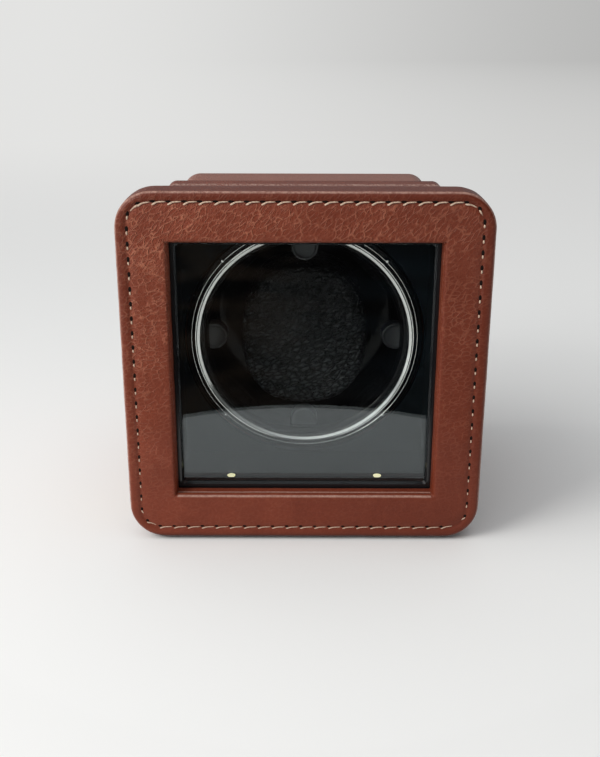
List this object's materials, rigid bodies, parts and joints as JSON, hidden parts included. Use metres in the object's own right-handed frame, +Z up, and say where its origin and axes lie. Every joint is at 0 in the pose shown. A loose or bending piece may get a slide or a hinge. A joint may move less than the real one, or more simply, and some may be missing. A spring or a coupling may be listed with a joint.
{
  "type": "watch winder",
  "caption": "Leather-clad single watch winder with a glazed hinged door and a geared round drum that turns a watch cushion.",
  "frame": {"origin": "on the table, under the middle of the outline (bounding box bottom centre)", "axes": "+Z up, the glazed door faces -Y, +Y runs back along the drum's shaft, +X to the right seen from the front"},
  "size_m": [0.12, 0.11, 0.1208],
  "materials": {
    "brown_leather": "grained, satin",
    "black_leather": "crinkled, semi-matt",
    "black_lining": "fine suede",
    "glass": "clear, polished",
    "gloss_black": "gloss",
    "black_plastic": "fine spark texture",
    "white_plastic": "moulded, satin",
    "warm_lens": "clear warm lens",
    "chrome": "mirror polish",
    "steel": "plated",
    "brass": "satin",
    "circuit_board": "lacquered laminate",
    "rubber": "matt"
  },
  "bodies": {
    "case": {"mid_case": "brown_leather", "rear_case": "brown_leather", "inner_liner": "black_lining", "baffle_panel": "black_lining", "strike_plate_upper": "steel", "strike_plate_lower": "steel", "hinge_upper_case_leaf": "brass", "hinge_lower_case_leaf": "brass", "hinge_upper_pin": "steel", "hinge_lower_pin": "steel", "lamp_lens_left": "warm_lens", "lamp_lens_right": "warm_lens", "foot_front_left": "rubber", "foot_front_right": "rubber", "foot_rear_left": "rubber", "foot_rear_right": "rubber", "rear_panel": "black_plastic", "rear_screw_1": "steel", "rear_screw_2": "steel", "rear_screw_3": "steel", "rear_screw_4": "steel", "mechanism_plate": "black_plastic", "shaft_bush": "brass", "gearbox_case": "black_plastic", "motor_can": "steel", "circuit_board": "circuit_board", "power_inlet": "black_plastic"},
    "door": {"door_frame": "brown_leather", "glazing_bead": "gloss_black", "door_glass": "glass", "door_backing": "black_plastic", "door_magnet_upper": "steel", "door_magnet_lower": "steel", "hinge_upper_door_leaf": "brass", "hinge_lower_door_leaf": "brass"},
    "drum": {"drum_cup": "gloss_black", "chrome_ring": "chrome", "cushion_grip_top": "rubber", "cushion_grip_bottom": "rubber", "cushion_grip_left": "rubber", "cushion_grip_right": "rubber", "bezel_pin_1": "chrome", "bezel_pin_2": "chrome", "bezel_pin_3": "chrome", "bezel_pin_4": "chrome", "drum_gear": "white_plastic", "drum_shaft": "steel", "shaft_clip": "steel"},
    "pinion": {"drive_pinion": "brass"},
    "cushion": {"watch_cushion": "black_leather"},
    "turns_selector": {"turns_knob": "black_plastic"},
    "direction_selector": {"direction_knob": "black_plastic"},
    "light_switch": {"light_button": "white_plastic"}
  },
  "joints": [
    {"name": "door_hinge", "type": "hinge", "parent": "case", "child": "door", "pos_m": [-0.056, -0.0395, 0.0608], "axis": [0, 0, -1], "range_deg": [0, 105]},
    {"name": "drum_spin", "type": "hinge", "parent": "case", "child": "drum", "pos_m": [0, 0, 0.0608], "axis": [0, 1, 0], "continuous": true},
    {"name": "pinion_spin", "type": "hinge", "parent": "case", "child": "pinion", "pos_m": [0.02864, 0, 0.03216], "axis": [0, 1, 0], "continuous": true},
    {"name": "cushion_slide", "type": "slide", "parent": "drum", "child": "cushion", "axis": [0, -1, 0], "range_m": [0, 0.026]},
    {"name": "turns_knob_turn", "type": "hinge", "parent": "case", "child": "turns_selector", "pos_m": [0.0085, 0.05, 0.0828], "axis": [0, 1, 0], "range_deg": [-135, 135]},
    {"name": "direction_knob_turn", "type": "hinge", "parent": "case", "child": "direction_selector", "pos_m": [0.0255, 0.05, 0.0828], "axis": [0, 1, 0], "range_deg": [-45, 45]},
    {"name": "light_button_press", "type": "slide", "parent": "case", "child": "light_switch", "axis": [0, -1, 0], "range_m": [0, 0.0012], "stiffness_N_per_m": 300, "springref_m": -0.001}
  ],
  "couplings": [
    {"joint": "pinion_spin", "follows": "drum_spin", "ratio": -4}
  ]
}
